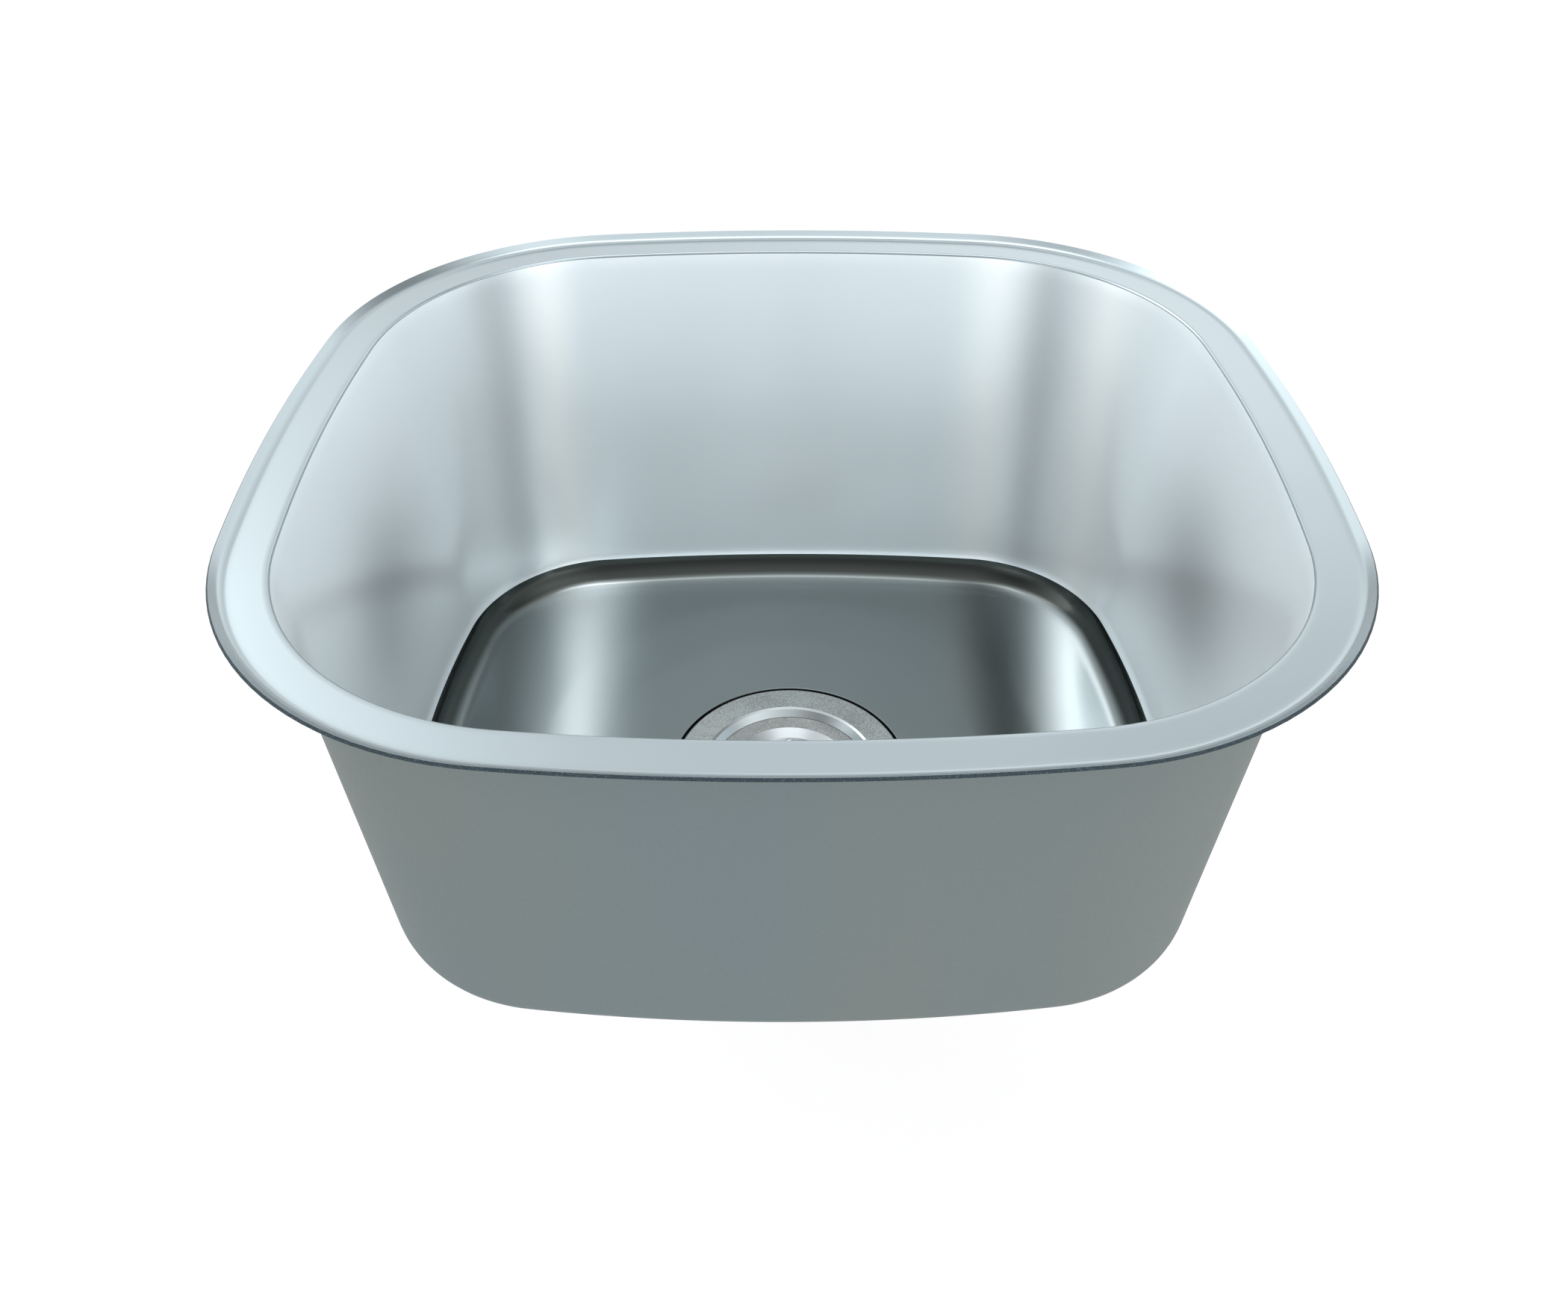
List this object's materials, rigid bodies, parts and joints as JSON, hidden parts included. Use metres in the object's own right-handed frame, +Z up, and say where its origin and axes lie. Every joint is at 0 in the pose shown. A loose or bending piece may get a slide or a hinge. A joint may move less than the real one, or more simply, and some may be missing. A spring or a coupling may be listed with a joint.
{
  "type": "undermount kitchen sink",
  "caption": "Single-bowl undermount kitchen sink in drawn sheet steel, with lift-out basket strainer, stopper and tailpiece.",
  "frame": {"origin": "on the drain's axis at the lower end of the tailpiece, the lowest point of the part", "axes": "+Z up along the drain's axis, +X to the bowl's right along its longer side, +Y to its rear"},
  "size_m": [0.4216, 0.3976, 0.3568],
  "materials": {
    "brushed_bowl": "brushed satin stainless steel",
    "pad_rubber": "matt bitumen rubber",
    "drain_steel": "fine satin stainless steel",
    "seal_rubber": "moulded rubber",
    "fibre": "pressed vulcanised fibre",
    "nut_zinc": "zinc-plated cast metal",
    "nylon": "white nylon",
    "nut_chrome": "chrome-plated brass",
    "tube_chrome": "chrome-plated drawn brass tube",
    "basket_steel": "satin pressed stainless steel",
    "spring_steel": "bright spring steel",
    "post_steel": "bright turned stainless steel",
    "knob_chrome": "polished chrome",
    "stopper_rubber": "moulded black rubber"
  },
  "bodies": {
    "sink": {"sink_bowl": "brushed_bowl", "sound_pad_left": "pad_rubber", "sound_pad_right": "pad_rubber", "sound_pad_front": "pad_rubber", "sound_pad_rear": "pad_rubber", "strainer_body": "drain_steel", "flange_seal": "seal_rubber", "floor_gasket": "seal_rubber", "friction_washer": "fibre", "lock_nut": "nut_zinc", "outlet_cross": "drain_steel", "tailpiece_washer": "nylon", "coupling_nut": "nut_chrome", "tailpiece": "tube_chrome"},
    "basket": {"basket_cup": "basket_steel", "post_bushing": "nylon", "detent_ring": "spring_steel"},
    "stopper": {"stopper_post": "post_steel", "pull_knob": "knob_chrome", "stopper_plate": "basket_steel", "stopper_seal": "stopper_rubber", "post_nut": "post_steel"}
  },
  "joints": [
    {"name": "basket_lift", "type": "slide", "parent": "sink", "child": "basket", "axis": [0, 0, 1], "range_m": [0, 0.25]},
    {"name": "stopper_pull", "type": "slide", "parent": "basket", "child": "stopper", "axis": [0, 0, 1], "range_m": [0, 0.009]}
  ]
}
